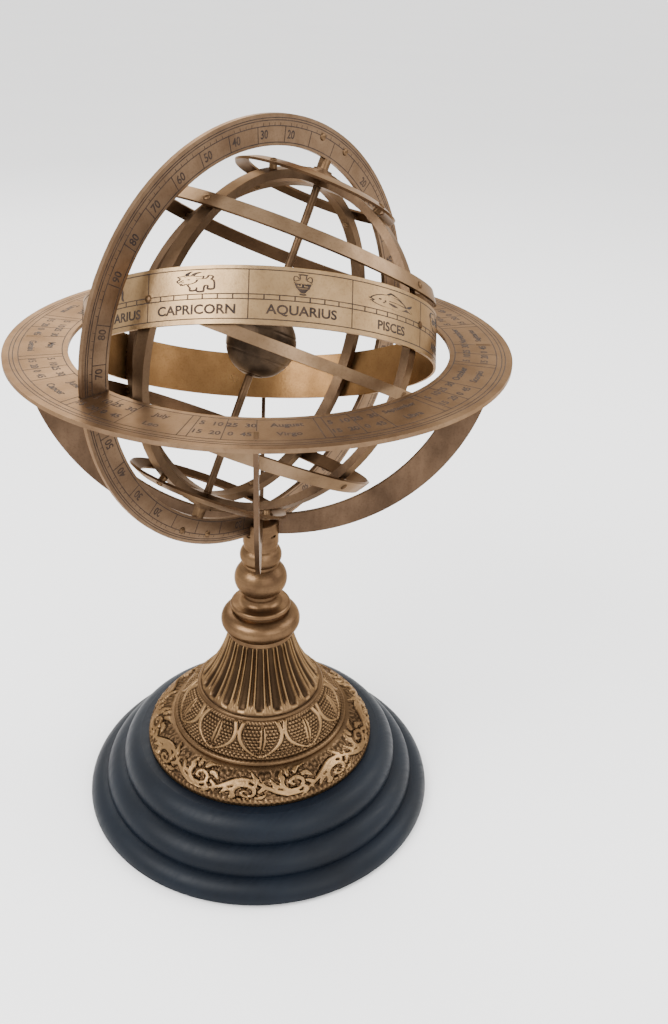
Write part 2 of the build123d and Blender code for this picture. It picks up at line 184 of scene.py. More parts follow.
# Felt pad: a disc of dark pressed wool, glued under the base so that it doesn't scratch a desk.
# Its cut edge is soft and a little uneven.
felt_steps = 180
felt_rings = 6  # of faces from the edge inwards
felt_ring_width = 0.012
felt_edge_round = 0.0005
felt_unevenness = 0.00012
felt_waves = 90  # per metre
fibre_size = 0.0006
fibre_rise = 0.0003
matting_size = 0.006
felt_dark = (0.020, 0.024, 0.022, 1)
felt_light = (0.055, 0.062, 0.058, 1)
felt_matted = (0.6, 0.6, 0.6, 1)
untinted = (1, 1, 1, 1)

felt_finish, nodes, links, shader = new_finish("pressed_felt", roughness=0.95)
fibres = speckle(nodes, links, fibre_size, 6)
matting = speckle(nodes, links, matting_size, 3)
links.new(
    mixed(
        nodes, links, "MULTIPLY", 0.5,
        graded(nodes, links, fibres, [(0.3, felt_dark), (0.75, felt_light)]),
        graded(nodes, links, matting, [(0.3, felt_matted), (0.7, untinted)]),
    ),
    shader.inputs["Base Color"],
)
roughened(nodes, links, shader, fibres, fibre_rise)

pad_low, pad_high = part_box("felt_pad")
clear_selection()
bpy.ops.mesh.primitive_cylinder_add(
    vertices=felt_steps,
    radius=pad_high.x - felt_unevenness,
    depth=pad_high.z - pad_low.z,
    location=(0, 0, (pad_high.z + pad_low.z) / 2),
)
felt_pad = bpy.context.object
felt_pad.name = "felt_pad_soft"
bpy.ops.object.transform_apply(location=True, rotation=True, scale=True)
bpy.ops.object.mode_set(mode="EDIT")
bpy.ops.mesh.select_all(action="SELECT")
bpy.ops.mesh.bevel(offset=felt_edge_round, segments=3, affect="EDGES")
bpy.ops.object.mode_set(mode="OBJECT")
for face in felt_pad.data.polygons:
    face.select = len(face.vertices) >= felt_steps
bpy.ops.object.mode_set(mode="EDIT")
for ring in range(felt_rings):
    bpy.ops.mesh.inset(thickness=felt_ring_width, use_even_offset=False)
bpy.ops.object.mode_set(mode="OBJECT")
for corner in felt_pad.data.vertices:
    wobble = noise.noise(corner.co * felt_waves) * felt_unevenness
    corner.co += Vector((corner.co.x, corner.co.y, 0)).normalized() * wobble
bpy.ops.object.shade_smooth_by_angle(angle=math.radians(50))
felt_pad.data.materials.append(felt_finish)
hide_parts("felt_pad")
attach(felt_pad, "stand")


# Wood base: one disc of hardwood, turned in three stepped rolls and sprayed in a satin blue-black that
# shows a trace of grain. The foot stands on it, and the tie rod runs up through it.
paint_deep = (0.0010, 0.0022, 0.0046, 1)
paint_light = (0.0026, 0.0052, 0.0098, 1)
grain_shade = (0.45, 0.5, 0.55, 1)
paint_shine = 0.13
grain_size = 0.012
haze_size = 0.05
pore_size = 0.0009
pore_depth = 0.00005


def coat(node, finish):
    """Puts a finish on a piece that keeps its own shape."""
    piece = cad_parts[node]
    if not piece.material_slots:
        piece.data.materials.append(finish)
    for place in piece.material_slots:
        place.material = finish


paint_finish, nodes, links, shader = new_finish("blue_black_paint")
shader.inputs["Specular IOR Level"].default_value = paint_shine
grain = speckle(nodes, links, grain_size, 6, stretch=(1, 9, 1))
haze = speckle(nodes, links, haze_size, 3)
pores = speckle(nodes, links, pore_size, 3, stretch=(0.3, 3, 1))
links.new(
    mixed(
        nodes, links, "MULTIPLY", 0.35,
        graded(nodes, links, haze, [(0.3, paint_deep), (0.7, paint_light)]),
        graded(nodes, links, grain, [(0.35, grain_shade), (0.65, untinted)]),
    ),
    shader.inputs["Base Color"],
)
links.new(ranged(nodes, links, grain, 0.38, 0.52), shader.inputs["Roughness"])
roughened(nodes, links, shader, pores, pore_depth)
coat("wood_base", paint_finish)


# Tie rod, washer and nut: plated steel. The rod comes down the middle of the stem from the post, and the
# nut is drawn up against the washer in the base's counterbore, which clamps post, stem, foot and base.
steel_dull = (0.38, 0.38, 0.40, 1)
steel_bright = (0.66, 0.66, 0.68, 1)
scratch_size = 0.002
steel_finish, nodes, links, shader = new_finish("plated_steel", metallic=1.0)
scratches = speckle(nodes, links, scratch_size, 5, stretch=(1, 1, 6))
links.new(
    graded(nodes, links, scratches, [(0.3, steel_dull), (0.7, steel_bright)]), shader.inputs["Base Color"]
)
links.new(ranged(nodes, links, scratches, 0.28, 0.5), shader.inputs["Roughness"])
for node in ("tie_rod", "tie_washer", "tie_nut"):
    coat(node, steel_finish)


# Embossed foot: thin brass sheet, spun to shape and chased all over, then browned and rubbed back.
# From the rim up it has a band of scrolls, a bead, a band of leaves, a ring and a fluted neck.
# It stands on the base, with the stem's collar clamped down on its neck.
foot_steps = 700  # divides by the scrolls, the leaves and the flutes
foot_wall = 0.0016
rim_rise = 0.0024
rim_corner = (0.0003, 0.0005)  # how far the rim's lower edge is taken off, inwards and upwards
bead_place = (0.0485, 0.0156)  # radius, and height above the rim's underside
bead_round = 0.0018
ring_place = (0.0345, 0.0350)
ring_round = 0.0015
neck_radius = 0.0175
scroll_swell = 0.0024
leaf_swell = 0.0018
flute_hollow = -0.0022
scroll_rows, bead_rows, leaf_rows, ring_rows, flute_rows, lining_rows = 40, 6, 38, 5, 26, 3
scroll_repeats = 7
leaf_repeats = 10
leaf_shift = 0.22  # of a leaf
flute_repeats = 20
fluted_length = 39  # of the neck, in the relief's unit
relief_unit = 0.001  # the relief is drawn in millimetres
curl_stretch = 1.3  # how much wider than tall the scrolls' curls are
lining_patina = 0.2
patina_middle, patina_gain = 0.5, 0.85  # at no relief, and for each unit of it
row_slack = 0.000005
lining_slack = 0.0002  # a corner this far inside the outline belongs to the lining


def along_arc(start, end, swell, rows):
    """Points on an arc between two (radius, height) places, without the first."""
    start, end = Vector(start), Vector(end)
    chord = end - start
    side = Vector((chord.y, -chord.x)).normalized()
    half = chord.length / 2
    radius = (half * half + swell * swell) / (2 * swell)
    middle = (start + end) / 2 + side * (swell - radius)
    first = start - middle
    sweep = 2 * math.asin(half / abs(radius)) * math.copysign(1, swell)
    points = []
    for row in range(1, rows + 1):
        turn = sweep * row / rows
        points.append((
            middle.x + first.x * math.cos(turn) - first.y * math.sin(turn),
            middle.y + first.x * math.sin(turn) + first.y * math.cos(turn),
        ))
    return points


def spun_piece(name, profile, steps):
    """A piece turned about the upright axis from (radius, height) points, extruded one after another."""
    clear_selection()
    bpy.ops.mesh.primitive_plane_add(size=0.0001)
    piece = bpy.context.object
    piece.name = name
    bpy.ops.object.mode_set(mode="EDIT")
    bpy.ops.mesh.merge(type="CENTER")
    bpy.ops.transform.translate(value=(profile[0][0], 0, profile[0][1]))
    for before, after in zip(profile, profile[1:]):
        bpy.ops.mesh.extrude_vertices_move(
            TRANSFORM_OT_translate={"value": (after[0] - before[0], 0, after[1] - before[1])}
        )
    bpy.ops.mesh.select_all(action="SELECT")
    bpy.ops.mesh.spin(steps=steps, angle=math.tau, center=(0, 0, 0), axis=(0, 0, 1))
    bpy.ops.mesh.select_all(action="SELECT")
    bpy.ops.mesh.remove_doubles(threshold=0.000002)
    bpy.ops.mesh.normals_make_consistent(inside=False)
    bpy.ops.object.mode_set(mode="OBJECT")
    return piece


def smooth(low, high, value):
    """0 below low, 1 above high, and a soft step between them."""
    share = min(max((value - low) / (high - low), 0), 1)
    return share * share * (3 - 2 * share)


def near_stroke(stroke, across, up):
    """How far a place lies inside the nearest stroke, as a share of its half-width."""
    best = -1.0
    for (ax, ay, aw), (bx, by, bw) in zip(stroke, stroke[1:]):
        dx, dy = bx - ax, by - ay
        share = ((across - ax) * dx + (up - ay) * dy) / (dx * dx + dy * dy)
        share = min(max(share, 0), 1)
        width = aw + (bw - aw) * share
        gap = math.hypot(across - ax - dx * share, up - ay - dy * share)
        best = max(best, 1 - gap / width)
    return best


def scroll_strokes(length, height):
    """A wavy stem with a curl in each bend and pointed leaves off both, as (x, y, half-width) points."""
    middle = height * 0.5
    wave = height * 0.25
    strokes = []
    stem = []
    for step in range(-4, 45):
        x = length * step / 40
        swell = 0.5 * math.sin(math.tau * x / length * 2)
        stem.append((x, middle + wave * math.sin(math.tau * x / length), 1.5 + swell))
    strokes.append(stem)
    for bend, side in ((0.25, 1), (0.75, -1), (-0.25, -1), (1.25, 1)):
        cx, cy = length * bend, middle - side * height * 0.10
        curl = []
        for step in range(20):
            turn = math.radians(215 - 24 * step) * side
            reach = height * (0.29 - 0.0125 * step)
            x = cx + reach * math.cos(turn) * curl_stretch
            curl.append((x, cy + reach * math.sin(turn), 1.5 - 0.03 * step))
        strokes.append(curl)
        for leaf in range(9):
            root = math.radians(8 + 39 * leaf) * side
            base = height * 0.27
            tip = height * (0.49 + 0.07 * math.sin(2.1 * leaf))
            lean = root + 0.62 * side
            half = (base + tip) / 2
            bow = root + 0.20 * side
            strokes.append([
                (cx + base * math.cos(root) * curl_stretch, cy + base * math.sin(root), 1.2),
                (cx + half * math.cos(bow) * curl_stretch, cy + half * math.sin(bow), 1.55),
                (cx + tip * math.cos(lean) * curl_stretch, cy + tip * math.sin(lean), 0.4),
            ])
    return strokes


def curl_centres(length, height):
    """Scattered middles of the small curls that fill the ground, the same in every repeat."""
    draw = random.Random(5)
    columns, rows = 11, 4
    centres = []
    for column in range(columns):
        for row in range(rows):
            x = (column + 0.5 * (row % 2) + draw.uniform(-0.2, 0.2)) * length / columns
            y = (row + 0.5 + draw.uniform(-0.2, 0.2)) * height / rows
            centres.append((x, y, draw.choice((-1, 1))))
    return centres + [(x - length, y, way) for x, y, way in centres] + [
        (x + length, y, way) for x, y, way in centres
    ]


def scroll_relief(turn, share, radius, scroll):
    """Scrolls that stand up from a ground of small curls, with a row of tips along the rim."""
    strokes, centres, length, height = scroll
    across = (turn / math.tau * scroll_repeats) % 1 * length
    up = share * height
    inside = max(near_stroke(stroke, across, up) for stroke in strokes)
    lift = 0.62 * smooth(0.0, 0.4, inside) - 0.16 * smooth(0.55, 1.0, inside)
    cx, cy, way = min(centres, key=lambda c: (across - c[0]) ** 2 + (up - c[1]) ** 2)
    gap = math.hypot(across - cx, up - cy)
    curl = math.cos(math.tau * gap / 2.5 + way * math.atan2(up - cy, across - cx))
    ground = -0.42 + 0.42 * smooth(-0.35, 0.6, curl)
    lift += ground * (1 - smooth(0.0, 0.3, inside)) + 0.1 * smooth(0.0, 0.3, inside)
    lift -= 0.55 * smooth(-0.28, -0.1, inside) * (1 - smooth(0.0, 0.16, inside))
    fade = smooth(0.03, 0.08, share) * (1 - smooth(0.93, 0.97, share))
    tips = math.cos(turn * scroll_repeats * 20 + 5 * share)
    tips *= 0.34 * (1 - smooth(0.12, 0.18, share)) * smooth(0.02, 0.05, share)
    return lift * fade * smooth(0.06, 0.16, share) + tips


def beaded(across, up):
    """Close-set round beads, in rows that are half a step apart."""
    row = math.floor(up)
    dx = (across + 0.5 * (row % 2)) % 1 - 0.5
    dy = up % 1 - 0.5
    return math.sqrt(max(0.0, 1 - (dx * dx + dy * dy) / 0.19))


def leaf_relief(turn, share, radius):
    """Leaves that hang point down from the ring, each with a broad edge, a vein and a beaded ground."""
    across = (turn / math.tau * leaf_repeats + leaf_shift) % 1 - 0.5
    pitch = math.tau * radius / leaf_repeats / relief_unit
    rise = min(max((share - 0.06) / 0.66, 0), 1)
    half = 0.49 * math.sin(rise * math.pi / 2) ** 0.75
    half *= 1 - 0.10 * smooth(0.76, 1.0, share)
    inside = (half - abs(across)) * pitch if share > 0.06 else -abs(across) * pitch - 1
    lift = 0.8 * beaded(across * 12, share * 12) - 0.5
    groove = smooth(-0.9, -0.5, inside) * (1 - smooth(2.5, 2.9, inside))
    lift += (-0.5 - lift) * groove
    edge = smooth(-0.4, 0.0, inside) * (1 - smooth(1.9, 2.3, inside))
    lift += (0.5 - lift) * edge
    blade = 1.9 * math.sin(math.pi * min(max((share - 0.2) / 0.74, 0), 1)) ** 0.7
    off = abs(across * pitch - 1.5 * math.sin(math.pi * (share - 0.2)))
    vein = (1 - smooth(blade * 0.8, blade * 0.8 + 0.4, off)) * smooth(0.18, 0.24, share)
    lift += (0.42 - 0.8 * (1 - smooth(0.2, 0.6, off)) - lift) * vein
    fade = smooth(0.0, 0.04, share) * (1 - smooth(0.95, 0.99, share))
    return lift * fade


def flute_relief(turn, share, radius):
    """Wide and narrow hollows side by side, round at their lower ends, with a fine ridge round each."""
    across = (turn / math.tau * flute_repeats) % 1 - 0.5
    pitch = math.tau * radius / flute_repeats / relief_unit
    hollows = ((0.0, 0.25, 0.045, 1.05), (0.5, 0.10, 0.10, 0.7))  # middle, half-width, lower end, depth
    lift = 0.15
    for middle, half, start, depth in hollows:
        off = abs(abs(across) - middle)
        reach = half * pitch / fluted_length
        below = max(0.0, (start + reach - share) / reach)
        gap = math.hypot(off / half, below)
        lift -= math.sqrt(max(0.0, 1 - gap * gap)) * depth
        lift += 0.45 * smooth(0.98, 1.1, gap) * (1 - smooth(1.2, 1.5, gap)) * smooth(0.0, 0.04, share)
    return lift * (1 - smooth(0.955, 0.985, share)) * smooth(0.0, 0.03, share)


foot_low, foot_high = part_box("embossed_foot")
foot_radius = foot_high.x
foot_height = foot_high.z - foot_low.z
rim_top = (foot_radius, rim_rise)
profile = [
    (foot_radius - foot_wall, 0.0), (foot_radius - rim_corner[0], 0.0),
    (foot_radius, rim_corner[1]), rim_top,
]
# The bead and the ring start and end at these shares of their own rounding from their middles.
bead_start = (bead_place[0] + bead_round * 0.75, bead_place[1] - bead_round * 0.6)
bead_end = (bead_place[0] - bead_round * 0.75, bead_place[1] + bead_round * 0.8)
ring_start = (ring_place[0] + ring_round * 0.75, ring_place[1] - ring_round * 0.6)
ring_end = (ring_place[0] - ring_round * 0.35, ring_place[1] + ring_round * 0.95)
neck_top = (neck_radius, foot_height)
profile += along_arc(rim_top, bead_start, scroll_swell, scroll_rows)
profile += along_arc(bead_start, bead_end, bead_round * 0.8, bead_rows)
profile += along_arc(bead_end, ring_start, leaf_swell, leaf_rows)
profile += along_arc(ring_start, ring_end, ring_round * 0.8, ring_rows)
profile += along_arc(ring_end, neck_top, flute_hollow, flute_rows)
outer_rows = len(profile)
lining = [
    (neck_radius - foot_wall, foot_height),
    (ring_place[0] - foot_wall * 1.4, ring_place[1] - foot_wall),
    (bead_place[0] - foot_wall, bead_place[1] - foot_wall * 1.4),
    (foot_radius - foot_wall, rim_rise - foot_wall),
    (foot_radius - foot_wall, 0.0),
]
profile.append(lining[0])
for before, after, swell in zip(lining, lining[1:], (-flute_hollow, -leaf_swell, -scroll_swell, 0.00001)):
    profile += along_arc(before, after, swell, lining_rows)
profile = [(radius, height + foot_low.z) for radius, height in profile]
foot = spun_piece("embossed_foot_chased", profile, foot_steps)

scroll_height = math.dist(rim_top, bead_start) / relief_unit
scroll_length = math.tau * (foot_radius + bead_place[0]) / 2 / scroll_repeats / relief_unit
scroll = (
    scroll_strokes(scroll_length, scroll_height), curl_centres(scroll_length, scroll_height),
    scroll_length, scroll_height,
)
bands = [
    (rim_top[1], bead_start[1], scroll_repeats, lambda *at: scroll_relief(*at, scroll)),
    (bead_end[1], ring_start[1], leaf_repeats, leaf_relief),
    (ring_end[1], neck_top[1], flute_repeats, flute_relief),
]
outer_heights = [height - foot_low.z for radius, height in profile[:outer_rows]]
patina = foot.data.attributes.new("relief", "FLOAT", "POINT")
lifts = {}
normals = [corner.normal.copy() for corner in foot.data.vertices]
for index, corner in enumerate(foot.data.vertices):
    height = corner.co.z - foot_low.z
    row = min(bisect.bisect_left(outer_heights, height - row_slack), outer_rows - 1)
    radius, height = profile[row][0], outer_heights[row]
    if math.hypot(corner.co.x, corner.co.y) < radius - lining_slack:
        patina.data[index].value = lining_patina
        continue
    step = round(math.atan2(corner.co.y, corner.co.x) / math.tau * foot_steps)
    lift = 0.0
    for low, high, repeats, relief in bands:
        if low < height < high:
            step %= foot_steps // repeats
            if (row, step) not in lifts:
                turn = step / foot_steps * math.tau
                lifts[row, step] = relief(turn, (height - low) / (high - low), radius)
            lift = lifts[row, step]
    corner.co += normals[index] * lift * relief_unit
    patina.data[index].value = min(max(patina_middle + lift * patina_gain, 0), 1)
bpy.ops.object.shade_smooth_by_angle(angle=math.radians(60))


glancing_tint = (0.76, 0.62, 0.51, 1)  # of light that grazes the brass
cloth_shade = (0.62, 0.58, 0.54, 1)
pit_shade = (0.45, 0.40, 0.36, 1)
pit_size = 0.0011
pit_depth = 0.00004
hollow_shade = (0.10, 0.075, 0.06, 1)
slope_shade = (0.5, 0.44, 0.40, 1)
crest_shade = (1.25, 1.15, 0.98, 1)


def aged_brass(name, deep, worn, gloss=0.36, cloud=0.03, stroke=(1, 1, 1), stroke_size=0.01, relief=False):
    """Brass browned all over and rubbed back, with clouds of patina, fine pits and strokes of the cloth."""
    finish, nodes, links, shader = new_finish(name, metallic=0.92)
    shader.inputs["Specular Tint"].default_value = glancing_tint
    clouds = speckle(nodes, links, cloud, 5)
    strokes_of_cloth = speckle(nodes, links, stroke_size, 3, stretch=stroke)
    pits = speckle(nodes, links, pit_size, 3)
    colour = graded(nodes, links, clouds, [(0.28, deep), (0.74, worn)])
    colour = mixed(
        nodes, links, "MULTIPLY", 0.42, colour,
        graded(nodes, links, strokes_of_cloth, [(0.32, cloth_shade), (0.62, untinted)]),
    )
    colour = mixed(
        nodes, links, "MULTIPLY", 0.22, colour,
        graded(nodes, links, pits, [(0.33, pit_shade), (0.5, untinted)]),
    )
    if relief:
        height = nodes.new("ShaderNodeAttribute")
        height.attribute_name = "relief"
        colour = mixed(
            nodes, links, "MULTIPLY", 0.92, colour,
            graded(
                nodes, links, height.outputs["Fac"],
                [(0.10, hollow_shade), (0.48, slope_shade), (0.82, crest_shade)],
            ),
        )
    links.new(colour, shader.inputs["Base Color"])
    links.new(ranged(nodes, links, clouds, gloss + 0.12, gloss - 0.04), shader.inputs["Roughness"])
    roughened(nodes, links, shader, pits, pit_depth)
    return finish


foot.data.materials.append(
    aged_brass("foot_brass", (0.073, 0.045, 0.025, 1), (0.210, 0.141, 0.076, 1), gloss=0.34, relief=True)
)
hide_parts("embossed_foot")
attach(foot, "stand")


# Stem: the collar, disc, baluster and post are turned from brass bar, with fine rings left by the turning
# tool. The tie rod clamps them in a stack on the foot, and brass pins through the post hold the arms.
stem_finish = aged_brass(
    "stem_brass", (0.043, 0.023, 0.012, 1), (0.146, 0.086, 0.043, 1), gloss=0.32, cloud=0.02,
    stroke=(0.15, 0.15, 5), stroke_size=0.004,
)
for node in ("stem_collar", "stem_disc", "baluster", "stem_post", "arm_pins"):
    coat(node, stem_finish)


# Cradle arms: four flat brass plates cut to a quarter arc, brown all over and rubbed a little along their
# length. Each is pinned in a slot of the post, and its tenon comes up through the horizon ring.
arm_finish = aged_brass(
    "arm_brass", (0.042, 0.025, 0.015, 1), (0.098, 0.060, 0.036, 1), gloss=0.36, cloud=0.025,
    stroke=(1, 1, 0.3), stroke_size=0.004,
)
for number in range(1, 5):
    coat(f"cradle_arm_{number}", arm_finish)


# Horizon ring: flat brass plate that lies on the four arms, with their tenons through it. It is etched with
# border circles, month and sign names and cells of numbers, filled with dark wax a hair above the metal.
wax_rise = 0.00004
wax_depth = 0.00004
wax_dark = (0.012, 0.007, 0.005, 1)
wax_worn = (0.040, 0.024, 0.015, 1)
wax_crumb_shade = (0.5, 0.5, 0.5, 1)
wax_shine = 0.15
wax_rubbing_size = 0.004
wax_crumb_size = 0.0005
wax_crumb_rise = 0.00003
etched_line = 0.00042
etched_bold = 0.035  # of a capital's height, added round the words' strokes
capital_share = 0.72  # of a letter's full size


def coated_wax(piece, name, body):
    """Gives an etched inlay its name, finish and body, with its faces closed and outward."""
    clear_selection()
    piece.select_set(True)
    bpy.context.view_layer.objects.active = piece
    bpy.ops.object.mode_set(mode="EDIT")
    bpy.ops.mesh.select_all(action="SELECT")
    bpy.ops.mesh.remove_doubles(threshold=0.000001)
    bpy.ops.mesh.normals_make_consistent(inside=False)
    bpy.ops.object.mode_set(mode="OBJECT")
    piece.name = name
    piece.data.materials.clear()
    piece.data.materials.append(wax_finish)
    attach(piece, body)


def joined(pieces):
    """One piece made of several."""
    clear_selection()
    for piece in pieces:
        piece.select_set(True)
    bpy.context.view_layer.objects.active = pieces[0]
    bpy.ops.object.join()
    return bpy.context.object


def letters(text, capital, stretch=1.0, bold=0.0):
    """Letters lying flat, with their middle at the origin and the wax's thickness about z = 0."""
    clear_selection()
    bpy.ops.object.text_add()
    piece = bpy.context.object
    piece.data.body = text
    piece.data.size = capital / capital_share
    piece.data.extrude = (wax_rise + wax_depth) / 2
    piece.data.offset = bold * capital
    piece.data.resolution_u = 3
    bpy.ops.object.convert(target="MESH")
    piece = bpy.context.object
    corners = [corner.co.copy() for corner in piece.data.vertices]
    middle_x = (min(c.x for c in corners) + max(c.x for c in corners)) / 2
    middle_y = (min(c.y for c in corners) + max(c.y for c in corners)) / 2
    for corner in piece.data.vertices:
        corner.co.x = (corner.co.x - middle_x) * stretch
        corner.co.y -= middle_y
    return piece


def bar(length, width):
    """A straight etched line along x, as thick as the letters."""
    clear_selection()
    bpy.ops.mesh.primitive_cube_add(size=1)
    piece = bpy.context.object
    for corner in piece.data.vertices:
        corner.co = Vector((
            corner.co.x * length, corner.co.y * width, corner.co.z * (wax_rise + wax_depth)
        ))
    return piece


def placed(piece, place):
    """Moves each corner of a flat piece to where place(x, y, z) puts it."""
    for corner in piece.data.vertices:
        corner.co = place(*corner.co)
    return piece


def etched_circle(inner, outer, low, high, steps):
    """A closed ring about z, between two radii and two heights."""
    corners = [(inner, low), (outer, low), (outer, high), (inner, high), (inner, low)]
    return spun_piece("etched_circle", corners, steps)


wax_finish, nodes, links, shader = new_finish("etching_wax", roughness=0.6)
shader.inputs["Specular IOR Level"].default_value = wax_shine
rubbing = speckle(nodes, links, wax_rubbing_size, 4)
crumbs = speckle(nodes, links, wax_crumb_size, 2)
links.new(
    mixed(
        nodes, links, "MULTIPLY", 0.4,
        graded(nodes, links, rubbing, [(0.35, wax_dark), (0.7, wax_worn)]),
        graded(nodes, links, crumbs, [(0.35, wax_crumb_shade), (0.6, untinted)]),
    ),
    shader.inputs["Base Color"],
)
roughened(nodes, links, shader, crumbs, wax_crumb_rise)

coat(
    "horizon_ring",
    aged_brass(
        "horizon_brass", (0.094, 0.056, 0.032, 1), (0.182, 0.116, 0.067, 1), gloss=0.34, cloud=0.035,
        stroke=(1, 1, 1), stroke_size=0.006,
    ),
)
horizon_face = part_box("horizon_ring")[1].z + (wax_rise - wax_depth) / 2
border_radii = (0.1166, 0.1150, 0.1126)
circle_steps = 144
sector_sweep = 30.0  # degrees, as are the turns below, which count from a multiple of it
name_middle = 22.0
cell_middles = (34.5, 41.5)
divider_turns = (15.0, 29.0, 31.0, 38.0)
divider_low, divider_high = 0.0930, 0.1126
tenon_turn, tenon_pitch = 45, 90  # of the four arms
tenon_low, tenon_high = 0.1035, 0.1120
row_radii = (0.0985, 0.1068)
word_capital = 0.0034
long_word = 9  # letters, from which a word takes the smaller capital
long_word_capital = 0.0029
notch_half = 3  # degrees
inner_sweep = 180 - 2 * notch_half
inner_dashes = 88
months = [
    ("January", "Aquarius"), ("February", "Pisces"), ("March", "Aries"), ("April", "Taurus"),
    ("May", "Gemini"), ("June", "Cancer"), ("July", "Leo"), ("August", "Virgo"),
    ("September", "Libra"), ("October", "Scorpio"), ("November", "Sagittarius"), ("December", "Capricorn"),
]
cells = (("5  10", "15  20"), ("25  30", "0  45"))


def on_horizon(turn, radius):
    """Letters that read from outside the ring, tops to the centre."""

    def place(x, y, z):
        angle = math.radians(turn) + x / radius
        reach = radius - y
        return Vector((reach * math.cos(angle), reach * math.sin(angle), horizon_face + z))

    return place


half_line = etched_line / 2
wax = [
    etched_circle(
        radius - half_line, radius + half_line,
        horizon_face - wax_depth, horizon_face + wax_rise, circle_steps,
    )
    for radius in border_radii
]
for sector, (month, sign) in enumerate(months):
    start = sector_sweep * sector
    for words, radius in zip((month, sign), row_radii):
        capital = word_capital if len(words) < long_word else long_word_capital
        name = letters(words, capital, bold=etched_bold)
        wax.append(placed(name, on_horizon(start + name_middle, radius)))
    for middle, rows in zip(cell_middles, cells):
        for words, radius in zip(rows, row_radii):
            numbers = letters(words, word_capital, bold=etched_bold)
            wax.append(placed(numbers, on_horizon(start + middle, radius)))
    for turn in divider_turns:
        spans = [(divider_low, divider_high)]
        if (start + turn) % tenon_pitch == tenon_turn:  # the line stops either side of an arm's tenon
            spans = [(divider_low, tenon_low), (tenon_high, divider_high)]
        for low, high in spans:
            line = bar(etched_line, high - low)
            wax.append(placed(line, on_horizon(start + turn, (low + high) / 2)))
for side in range(2):  # the inner circle stops at the notches for the meridian ring
    for step in range(inner_dashes):
        middle = 180 * side + notch_half + inner_sweep * (step + 0.5) / inner_dashes
        length = divider_low * math.radians(inner_sweep / inner_dashes)
        wax.append(placed(bar(length, etched_line), on_horizon(middle, divider_low)))
coated_wax(joined(wax), "horizon_etching", "stand")


# Meridian ring: the same brass plate on edge, with a scale of degrees from each pole etched on both faces.
# It slides round in the post's slot and in the horizon ring's two notches, to tilt the poles.
coat(
    "meridian_ring",
    aged_brass(
        "meridian_brass", (0.092, 0.056, 0.033, 1), (0.172, 0.110, 0.066, 1), gloss=0.34, cloud=0.03,
        stroke=(1, 0.2, 1), stroke_size=0.005,
    ),
)
pole_tilt = math.radians(28)
globe_centre = Vector((0, 0, 0.277))
meridian_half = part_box("meridian_ring")[1].y
face_shift = (wax_rise - wax_depth) / 2
scale_circles = (0.0919, 0.0988, 0.1012, 0.1022)
tick_low, tick_high = scale_circles[:2]
tick_pitch = 10  # degrees
short_tick_pitch = 2
short_tick_radius = 0.0996
short_tick_length = 0.0012
short_tick_share = 0.6  # of an etched line's width
numeral_radius = 0.0954
numeral_capital = 0.0037
numeral_stretch = 0.9
numeral_bold = 0.03
numeral_lean = math.radians(2.3)  # from its tick
pole_gap = 16  # degrees either side of a pole that the brackets' rivets take up


def on_meridian(turn, radius, side):
    """Letters that read from one face of the ring, tops outward; side is -1 for the face towards -Y."""

    def place(x, y, z):
        angle = turn - side * x / radius
        reach = radius + y
        out = side * (meridian_half + face_shift + z)
        return Vector((
            globe_centre.x + reach * math.sin(angle),
            out,
            globe_centre.z + reach * math.cos(angle),
        ))

    return place


wax = []
for side in (-1, 1):
    for radius in scale_circles:
        circle = etched_circle(radius - half_line, radius + half_line, -wax_depth, wax_rise, circle_steps)
        circle.data.transform(
            Matrix.Translation(globe_centre)
            @ Matrix.Translation((0, side * meridian_half, 0))
            @ Matrix.Rotation(math.radians(-90 * side), 4, "X")
        )
        wax.append(circle)
    for degrees in range(0, 181, tick_pitch):
        for half in (-1, 1):
            if degrees in (0, 180) and half == 1:
                continue
            turn = pole_tilt + half * math.radians(degrees)
            line = bar(etched_line, tick_high - tick_low)
            wax.append(placed(line, on_meridian(turn, (tick_low + tick_high) / 2, side)))
            if degrees < pole_gap or degrees > 180 - pole_gap:
                continue
            shown = degrees if degrees <= 90 else 180 - degrees
            lean = numeral_lean * (1 if degrees <= 90 else -1)
            numeral = letters(str(shown), numeral_capital, numeral_stretch, numeral_bold)
            wax.append(placed(numeral, on_meridian(turn - half * lean, numeral_radius, side)))
    for degrees in range(0, 360, short_tick_pitch):
        if degrees % tick_pitch:
            turn = pole_tilt + math.radians(degrees)
            line = bar(etched_line * short_tick_share, short_tick_length)
            wax.append(placed(line, on_meridian(turn, short_tick_radius, side)))
coated_wax(joined(wax), "meridian_etching", "meridian")


# Pivot brackets and their rivets: a small brass plate with a boss at each pole, bored for the polar rod's
# pin. Two brass rivets, domed over at both ends, hold each bracket to the meridian ring.
fitting_finish = aged_brass(
    "fitting_brass", (0.047, 0.027, 0.014, 1), (0.135, 0.081, 0.042, 1), gloss=0.32, cloud=0.012,
    stroke_size=0.003,
)
coat("north_pivot_bracket", fitting_finish)
coat("south_pivot_bracket", fitting_finish)
head_radius = 0.0017
head_rise = 0.0007
dome_angles = (0, 22, 44, 66, 84)  # degrees from a head's top
rivet_steps = 20
axis_gap = 0.000001  # a head's top stays this far off the axis that it is spun about
bracket_shank = 0.001
bracket_rivet_low, bracket_rivet_high = -0.00125, 0.0026
bracket_rivet_radius = 0.0985
bracket_rivet_turn = 5.243


